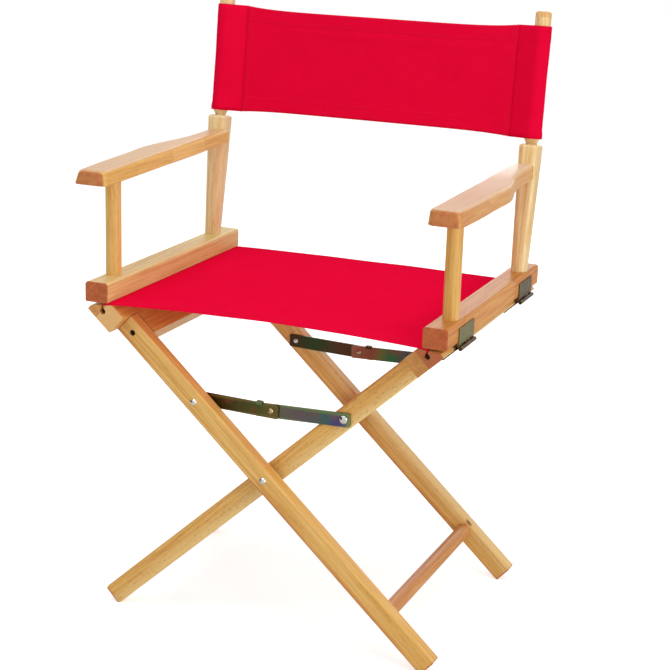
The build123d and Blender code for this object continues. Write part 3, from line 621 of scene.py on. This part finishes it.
def duckCanvas(name, seed, look):
    material, tree, shader = newMaterial(name, {"Roughness": 0.95, "Specular IOR Level": 0.0})
    place = add(tree, "ShaderNodeUVMap", {"uv_map": "cloth"})
    mm = add(tree, vectorCalc, {"operation": "SCALE", "Scale": 1000.0}, {0: place})
    split = add(tree, "ShaderNodeSeparateXYZ", links={0: mm})
    waves, perThread = [], math.pi / look["thread"]
    for i in (0, 1):
        turn = add(tree, calc, {"operation": "MULTIPLY", 1: perThread}, {0: split.outputs[i]})
        waves.append(add(tree, calc, {"operation": "SINE"}, {0: turn}))
    # a checker of threads that float over each other, with gaps between
    over = add(tree, calc, {"operation": "MULTIPLY"}, {0: waves[0], 1: waves[1]})
    gap = add(tree, calc, {"operation": "ABSOLUTE"}, {0: over})
    slubs = []
    for stretchOut in ((0.05, 1.1, 1.0), (1.1, 0.05, 1.0)):
        drawn = add(tree, vectorCalc, {"operation": "MULTIPLY_ADD", 1: stretchOut, 2: (0, 0, seed)},
                    {0: mm})
        slubs.append(add(tree, noise, {"Scale": 1.0, "Detail": 2.0}, {"Vector": drawn}))
    slub = add(tree, calc, {"operation": "ADD"}, {0: slubs[0], 1: slubs[1]})
    bright = add(tree, stretch, {1: 1.08, 2: 1.35, 4: 0.3}, {0: slub})
    cloud = add(tree, noise, {"Scale": 0.018, "Detail": 2.0}, {"Vector": mm})
    dull = add(tree, stretch, {1: 0.45, 2: 0.75, 4: 0.25}, {0: cloud})
    floats = add(tree, stretch, {1: 0.0, 2: 0.35}, {0: gap})
    colour = add(tree, mixer, {"data_type": "RGBA", 6: look["gap"], 7: look["colour"]}, {0: floats})
    colour = add(tree, mixer, {"data_type": "RGBA", 7: look["slub"]}, {0: bright, 6: colour})
    colour = add(tree, mixer, {"data_type": "RGBA", 7: look["gap"]}, {0: dull, 6: colour})
    tree.links.new(colour.outputs[2], shader.inputs["Base Color"])
    height = add(tree, calc, {"operation": "MULTIPLY_ADD", 1: 0.35}, {0: slub, 2: over})
    bump = add(tree, "ShaderNodeBump", {"Strength": 0.22, "Distance": 0.0003}, {"Height": height})
    tree.links.new(bump.outputs[0], shader.inputs["Normal"])
    return material


def threadMaterial():
    # twisted polyester sewing thread in the cloth's own red, with a slight lustre
    material, tree, shader = newMaterial("redSewingThread", {
        "Roughness": 0.6, "Specular IOR Level": 0.15})
    place = add(tree, "ShaderNodeTexCoord").outputs["Object"]
    twist = add(tree, noise, {"Scale": 900.0, "Detail": 2.0}, {"Vector": place})
    colour = add(tree, mixer, {"data_type": "RGBA", 6: "#c0062c", 7: "#e20f3a"}, {0: twist})
    tree.links.new(colour.outputs[2], shader.inputs["Base Color"])
    return material


# the seat's copy is drawn brighter than the back's: painted light on the seat's upward face
seatDuck = duckCanvas("cottonDuckSeat", 3.0, {**canvasLook, "colour": "#f00c3b", "gap": "#d90834"})
backDuck = duckCanvas("cottonDuckBack", 7.0, canvasLook)
sewingThread = threadMaterial()


def clothSheet(name, rows, uvRows, material, thick, closed=0.0):
    # rows of points on the cloth's middle and their places on the cut cloth, both in metres,
    # to a sheet of its thickness; closed is the round of a tube
    wide = len(rows[0])
    faces = []
    for i in range(len(rows) - 1):
        for j in range(wide if closed else wide - 1):
            k = (j + 1) % wide
            faces.append((i * wide + j, (i + 1) * wide + j, (i + 1) * wide + k, i * wide + k))
    piece = meshPiece(name, [p for row in rows for p in row], faces, material)
    layer = piece.data.uv_layers.new(name="cloth")
    flat = [uv for row in uvRows for uv in row]
    for face in piece.data.polygons:
        lastOne = closed and face.vertices[0] % wide == wide - 1
        for loop in face.loop_indices:
            corner = piece.data.loops[loop].vertex_index
            u, v = flat[corner]
            layer.data[loop].uv = (u + closed if lastOne and corner % wide == 0 else u, v)
    wall = piece.modifiers.new("thickness", "SOLIDIFY")
    wall.thickness = thick
    wall.offset = 0.0
    return bake(piece)


seatCloth = {
    "thick": 0.0011,
    "edge": 0.221,          # where the sheet leaves the flat of the seat rail
    "crown": 0.005,
    "halfDeep": 0.2094,     # at the rails
    "loopShort": 0.009,     # how far the loops round the rods stay inside the holes
    "rodPlay": 0.00015,     # between a rod and its loop
    "loopTurn": (-215, 305),    # degrees round the rod, where the loop starts and how far it goes
    "mouth": ((0.0006, -0.0012), (0.0022, 0.0), (0.008, 0.0)),  # over the slot's edge to the flat
    "foldWide": 0.003,      # how far each side of a hem's fold the step in the cloth reaches
    "bow": 0.008,           # how far the hemmed edges draw in between them
    "hem": 0.020,
    "hemStep": 0.0006,
    "sag": 0.0012,
    "ripple": 0.0004,
}


def seatSpot(x, t):
    # a point of the seat's middle surface, t from -1 at the front edge to 1 at the back
    look = seatCloth
    inside = max(0.0, 1 - (x / look["edge"]) ** 2)
    y = t * (look["halfDeep"] - look["bow"] * inside)
    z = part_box("seat_canvas")[1].z - look["crown"] * (1 - inside) - look["thick"] / 2
    if abs(t) > 1 - look["hem"] / look["halfDeep"]:
        z += look["hemStep"] / 2
    z -= look["sag"] * inside * max(0.0, abs(t) - 0.8) * 5
    z += look["ripple"] * inside * math.sin(x * 37 + 2.1 * t) * math.cos(t * 9 + x * 11)
    return Vector((x, y, z))


def buildSeat(look=seatCloth):
    rodLow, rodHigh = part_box("left_frame_canvas_rod")
    rod = (rodLow + rodHigh) / 2
    loop = (rodHigh.z - rodLow.z) / 2 + look["rodPlay"] + look["thick"] / 2
    top = seatSpot(look["edge"], 0).z

    # half the cloth's path: round the rod, up through the slot, over the rail, to the middle
    half = []
    start, whole = look["loopTurn"]
    for i in range(13):
        turn = math.radians(start + i * whole / 12)
        half.append((rod.x - loop * math.sin(turn), rod.z - loop * math.cos(turn), 1))
    half = [spot for spot in half if spot[1] < top - 0.004]
    half.append((rod.x + loop * 0.15, top - 0.0042, 0))
    half += [(rod.x + aside, top + rise, 0) for aside, rise in look["mouth"]]
    half += [(-look["edge"] + look["edge"] * i / 30, None, 0) for i in range(31)]
    line = half + [(-x, z, inHole) for x, z, inHole in reversed(half[:-1])]

    hemAt = 1 - look["hem"] / look["halfDeep"]
    depths = {-1 + 2 * j / 56 for j in range(57)}
    for mark in (hemAt - look["foldWide"], hemAt + look["foldWide"]):
        depths |= {mark, -mark}
    rows, uvRows, run, before = [], [], 0.0, None
    for x, z, inHole in line:
        row = []
        for t in sorted(depths):
            if z is None:
                row.append(seatSpot(x, t))
            else:
                row.append(Vector((x, t * (look["halfDeep"] - look["loopShort"] * inHole), z)))
        here = Vector((x, seatSpot(x, 0).z if z is None else z))
        run += (here - before).length if before else 0.0
        before = here
        rows.append(row)
        uvRows.append([(run, spot.y) for spot in row])
    return clothSheet("seatCanvas", rows, uvRows, seatDuck, look["thick"]), run


seatCanvas, seatRun = buildSeat()
print("seat canvas:", round(seatRun, 4), "m of cloth between its ends")


backCloth = {
    "thick": 0.0011,
    "seam": 0.034,          # from the spindle's middle to the sleeve's seam
    "round": 0.0134,        # outside of the sleeve round the spindle
    "proud": 0.0015,        # how far the cloth is let out at its top and bottom
    "hem": 0.022,
    "hemStep": 0.0006,
    "dipTop": 0.0050,       # how far the top edge hangs between the posts
    "riseBottom": 0.0035,   # and the bottom edge is drawn up
    "bowBack": 0.004,
    "crease": (0.0009, 0.80, 0.006),    # how far it stands out, its place up the panel, its width
    "ripple": 0.0007,
    "foldWide": 0.003,      # how far each side of a hem's fold the step in the cloth reaches
    "tuck": 0.0008,         # how far the panel goes into the sleeves' seams
    "seamGap": 0.0006,      # half the gap between a sleeve's two layers at its seam
    "seamPlay": 0.0002,
    "footHem": (0.0014, 0.010),     # how far the sleeve's lower hem stands out, and its height
    "topHem": 0.0003,
    "sleeveRipple": 0.0002,
}
low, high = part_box("back_canvas")
halfPanel = high.x
uprightTall = high.z - low.z - backCloth["thick"] * math.sin(rake)
tallBack = uprightTall / math.cos(rake) + 2 * backCloth["proud"]
backUp = Vector(postUp)
backOut = Vector((0, -math.cos(rake), math.sin(rake)))
backFoot = Vector((0, (low.y + high.y) / 2, (low.z + high.z) / 2)) - backUp * tallBack / 2


def backSpot(x, t):
    # a point of the back's middle surface, t from 0 at the bottom edge to 1 at the top
    look = backCloth
    inner = max(0.0, 1 - (x / halfPanel) ** 2)
    pulled = max(0.0, 1 - abs(x / halfPanel) ** 6)
    bottom, top = look["riseBottom"] * pulled, tallBack - look["dipTop"] * pulled
    h = bottom + (top - bottom) * t
    out = -look["bowBack"] * inner * math.sin(math.pi * (0.15 + 0.7 * t))
    if t < look["hem"] / tallBack or t > 1 - look["hem"] / tallBack:
        out += look["hemStep"] / 2
    size, at, width = look["crease"]
    out += size * inner * math.exp(-((t - at) * tallBack / width) ** 2)
    out += look["ripple"] * inner * math.sin(x * 23 + 1.3) * math.sin(3.1 * t + x * 5)
    return backFoot + backUp * h + backOut * out + Vector((x, 0, 0))


def hemMarks(count):
    # even steps from 0 to 1, with a narrow one at each hem's fold
    hem, fold = backCloth["hem"] / tallBack, backCloth["foldWide"]
    marks = {i / count for i in range(count + 1)}
    return sorted(marks | {hem - fold, hem + fold, 1 - hem - fold, 1 - hem + fold})


def buildBack(look=backCloth):
    rows, uvRows = [], []
    reach = halfPanel + look["tuck"]
    for i in range(65):
        x = -reach + 2 * reach * i / 64
        rows.append([backSpot(x, t) for t in hemMarks(40)])
        uvRows.append([(x, t * tallBack) for t in hemMarks(40)])
    return clothSheet("backPanel", rows, uvRows, backDuck, look["thick"])


def buildSleeve(side, look=backCloth):
    # a teardrop round the spindle, drawn to its seam
    radius, tail, gap = look["round"] - look["thick"] / 2, look["seam"], look["seamGap"]
    lean = math.acos((radius - gap) / tail)
    outline = []
    for i in range(29):
        turn = lean + (2 * math.pi - 2 * lean) * i / 28
        outline.append((radius * math.cos(turn), radius * math.sin(turn)))
    first, last = Vector(outline[0]), Vector(outline[-1])
    near = [first.lerp(Vector((tail, gap)), i / 8) for i in range(8, 0, -1)]
    far = [last.lerp(Vector((tail, -gap)), i / 8) for i in range(1, 9)]
    outline = [Vector(p) for p in near + outline + far]
    run = [0.0]
    for here, there in zip(outline, outline[1:] + outline[:1]):
        run.append(run[-1] + (there - here).length)
    middle = backFoot + Vector((side * (halfPanel + tail + look["seamPlay"]), 0, 0))
    footOut, footTall = look["footHem"]
    rows, uvRows = [], []
    for t in hemMarks(24):
        h = t * tallBack
        hem = look["topHem"] if h < look["hem"] or h > tallBack - look["hem"] else 0.0
        hem = footOut if h < footTall else hem
        row = []
        for spot in outline:
            away = max(0.0, min(1.0, (tail - spot.x) / tail))
            ripple = look["sleeveRipple"] * math.sin(h * 70 + spot.x * 90)
            swell = 1 + (hem + ripple) * away / radius
            aside = Vector((-side * spot.x * swell, 0, 0))
            row.append(middle + aside + backOut * spot.y * swell + backUp * h)
        rows.append(row)
        uvRows.append([(s + side * halfPanel, h) for s in run[:-1]])
    if side > 0:
        rows, uvRows = rows[::-1], uvRows[::-1]
    name = "leftBackSleeve" if side < 0 else "rightBackSleeve"
    return clothSheet(name, rows, uvRows, backDuck, look["thick"], run[-1]), run[-1]


backPanel = buildBack()
leftSleeve, sleeveRound = buildSleeve(-1)
rightSleeve, sleeveRound = buildSleeve(1)
print("back canvas: a panel", round(tallBack, 4), "m tall and two sleeves", round(sleeveRound, 4),
      "m round")


# stitches, one short rod of thread for each along a seam line

stitchLook = {"Stitch Length": 0.0026, "Pitch": 0.0040, "Thread Radius": 0.00030}
edgeRow, hemRow = 0.0025, 0.002         # m from a cut edge, and from a hem's fold
sleeveRows = (0.002, 0.008)             # m from where the panel meets a sleeve


def stitchTree():
    tree = bpy.data.node_groups.new("stitchLine", "GeometryNodeTree")
    face = tree.interface
    face.new_socket("Geometry", in_out="INPUT", socket_type="NodeSocketGeometry")
    for name, value in stitchLook.items():
        face.new_socket(name, in_out="INPUT", socket_type="NodeSocketFloat").default_value = value
    face.new_socket("Geometry", in_out="OUTPUT", socket_type="NodeSocketGeometry")
    start = add(tree, "NodeGroupInput")
    curve = add(tree, "GeometryNodeMeshToCurve", links={0: start.outputs["Geometry"]})
    even = add(tree, "GeometryNodeResampleCurve", {"mode": "LENGTH"},
               {"Curve": curve, "Length": start.outputs["Pitch"]})
    tangent = add(tree, "GeometryNodeInputTangent")
    turn = add(tree, "FunctionNodeAlignRotationToVector", {"axis": "Z"}, {"Vector": tangent})
    rod = add(tree, "GeometryNodeMeshCylinder", {"fill_type": "TRIANGLE_FAN", "Vertices": 6},
              {"Radius": start.outputs["Thread Radius"], "Depth": start.outputs["Stitch Length"]})
    put = add(tree, "GeometryNodeInstanceOnPoints",
              links={"Points": even, "Instance": rod, "Rotation": turn})
    real = add(tree, "GeometryNodeRealizeInstances", links={0: put})
    paint = add(tree, "GeometryNodeSetMaterial", {"Material": sewingThread}, {"Geometry": real})
    add(tree, "NodeGroupOutput", links={0: paint})
    return tree


stitchGroup = stitchTree()


def stitch(name, lines):
    # each line is a list of points on the cloth's face
    mesh = bpy.data.meshes.new(name)
    points, edges = [], []
    for line in lines:
        edges += [(len(points) + i, len(points) + i + 1) for i in range(len(line) - 1)]
        points += [tuple(p) for p in line]
    mesh.from_pydata(points, edges, [])
    piece = bpy.data.objects.new(name, mesh)
    bpy.context.scene.collection.objects.link(piece)
    sew = piece.modifiers.new("stitches", "NODES")
    sew.node_group = stitchGroup
    for item in stitchGroup.interface.items_tree:
        if item.item_type == "SOCKET" and item.in_out == "INPUT" and item.name in stitchLook:
            sew[item.identifier] = stitchLook[item.name]
    return bake(piece)


face = Vector((0, 0, seatCloth["thick"] / 2))
seatLines = []
for inset in (edgeRow, seatCloth["hem"] - hemRow):
    t = 1 - inset / seatCloth["halfDeep"]
    for s in (-t, t):
        seatLines.append([seatSpot(seatCloth["edge"] * (i / 30 - 1), s) + face for i in range(61)])
seatThread = stitch("seatStitches", seatLines)

face = backOut * backCloth["thick"] / 2
backLines = []
for inset in (edgeRow, backCloth["hem"] - hemRow):
    for t in (inset / tallBack, 1 - inset / tallBack):
        backLines.append([backSpot(halfPanel * (i / 32 - 1), t) + face for i in range(65)])
for side in (-1, 1):
    for inset in sleeveRows:
        backLines.append([backSpot(side * (halfPanel - inset), i / 30) + face for i in range(31)])
backThread = stitch("backStitches", backLines)
print("stitches sewn:", len(seatLines) + len(backLines), "seams")


# what moves with what

for side, piece in armrests.items():
    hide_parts(side + "_arm_rest")
    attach(piece, side + "_arm")
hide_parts("left_arm_front_post")
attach(leftFrontPost, "left_arm")
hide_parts("seat_canvas")
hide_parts("back_canvas")
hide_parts("left_arm_back_sleeve")
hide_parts("right_arm_back_sleeve")
for piece in (seatCanvas, seatThread):
    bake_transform(piece)
for piece in (backPanel, backThread):
    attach(piece, "left_arm")
    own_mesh(piece)
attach(leftSleeve, "left_arm")
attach(rightSleeve, "right_arm")


# floor, light and camera

studio = {
    "sky": 0.50,
    "floor": ("#f1f1f1", "#f4f4f4"),
    "floorHalf": 20,
    "floorLift": 0.55,
    "card": ((-1.0, -2.3), (-2.7, -0.2), 1.7),      # its two feet, and its height
    "aim": (0, 0, 0.45),
    "lamps": {              # name: (place, side of the square, power)
        "leftSoftbox": ((-2.2, -2.4, 1.3), 1.8, 10.0),
        "rightSoftbox": ((2.9, -1.2, 0.9), 1.8, 36.0),
        "topSoftbox": ((0.2, -0.7, 3.2), 2.0, 36.0),
        "backSoftbox": ((-0.6, 3.0, 1.6), 1.8, 16.0),
    },
}


def buildStudio(look=studio):
    material, tree, shader = newMaterial("paintedStudioFloor", {
        "Roughness": 0.9, "Specular IOR Level": 0.0, "Emission Color": "#ffffff"})
    place = add(tree, "ShaderNodeTexCoord").outputs["Object"]
    grit = add(tree, noise, {"Scale": 60.0, "Detail": 3.0}, {"Vector": place})
    dull, light = look["floor"]
    colour = add(tree, mixer, {"data_type": "RGBA", 6: dull, 7: light}, {0: grit})
    tree.links.new(colour.outputs[2], shader.inputs["Base Color"])
    rays = add(tree, "ShaderNodeLightPath")
    lift = add(tree, calc, {"operation": "MULTIPLY", 1: look["floorLift"]},
               {0: rays.outputs["Is Camera Ray"]})
    tree.links.new(lift.outputs[0], shader.inputs["Emission Strength"])
    half = look["floorHalf"]
    corners = [(-half, -half, 0), (half, -half, 0), (half, half, 0), (-half, half, 0)]
    floor = meshPiece("floor", corners, [(0, 1, 2, 3)], material)

    # a black card at the left that only the gloss sees, for the dark side of each dome
    material, tree, shader = newMaterial("blackCard", {"Base Color": "#050505", "Roughness": 1.0})
    foot, otherFoot, tall = look["card"]
    corners = [(*foot, 0), (*otherFoot, 0), (*otherFoot, tall), (*foot, tall)]
    card = meshPiece("blackCard", corners, [(0, 1, 2, 3)], material)
    card.visible_camera = card.visible_diffuse = card.visible_shadow = card.visible_transmission = False

    world = bpy.data.worlds.new("studioWorld")
    world.use_nodes = True
    tree = world.node_tree
    tree.nodes.clear()
    rays = add(tree, "ShaderNodeLightPath")
    seen = add(tree, calc, {"operation": "MAXIMUM"},
               {0: rays.outputs["Is Camera Ray"], 1: rays.outputs["Is Glossy Ray"]})
    seen = add(tree, calc, {"operation": "MAXIMUM"}, {0: seen, 1: rays.outputs["Is Transmission Ray"]})
    strength = add(tree, stretch, {3: look["sky"], 4: 1.0}, {0: seen})
    sky = add(tree, "ShaderNodeBackground", {"Color": "#ffffff"}, {"Strength": strength})
    add(tree, "ShaderNodeOutputWorld", links={0: sky})
    bpy.context.scene.world = world

    for name, (spot, size, power) in look["lamps"].items():
        data = bpy.data.lights.new(name, "AREA")
        data.size = size
        data.energy = power
        lamp = bpy.data.objects.new(name, data)
        lamp.location = spot
        aim = Vector(look["aim"]) - Vector(spot)
        lamp.rotation_euler = aim.to_track_quat("-Z", "Y").to_euler()
        bpy.context.scene.collection.objects.link(lamp)


cameraStand = {
    "azimuth": 21.115,
    "elevation": 17.136,
    "roll": 2.049,
    "distance": 2.48464,
    "target": (0.055785, 0.00126, 0.33738),
    "lens": 92.02,
    "shift": (-0.0274, 0.0734),
}


def buildCamera(look=cameraStand):
    a, e, r = (math.radians(look[k]) for k in ("azimuth", "elevation", "roll"))
    away = Vector((math.sin(a) * math.cos(e), -math.cos(a) * math.cos(e), math.sin(e)))
    level = Vector((math.cos(a), math.sin(a), 0))
    up = away.cross(level)
    x = level * math.cos(r) + up * math.sin(r)
    y = up * math.cos(r) - level * math.sin(r)
    data = bpy.data.cameras.new("camera")
    data.sensor_width = 36.0
    data.lens = look["lens"]
    data.shift_x, data.shift_y = look["shift"]
    data.clip_start, data.clip_end = 0.05, 60.0
    camera = bpy.data.objects.new("camera", data)
    spot = Vector(look["target"]) + away * look["distance"]
    camera.matrix_world = Matrix.Translation(spot) @ Matrix((x, y, away)).transposed().to_4x4()
    bpy.context.scene.collection.objects.link(camera)
    bpy.context.scene.camera = camera


buildStudio()
buildCamera()
bpy.context.scene.view_settings.view_transform = "Standard"
print("floor, light and camera set")

bpy.context.view_layer.update()
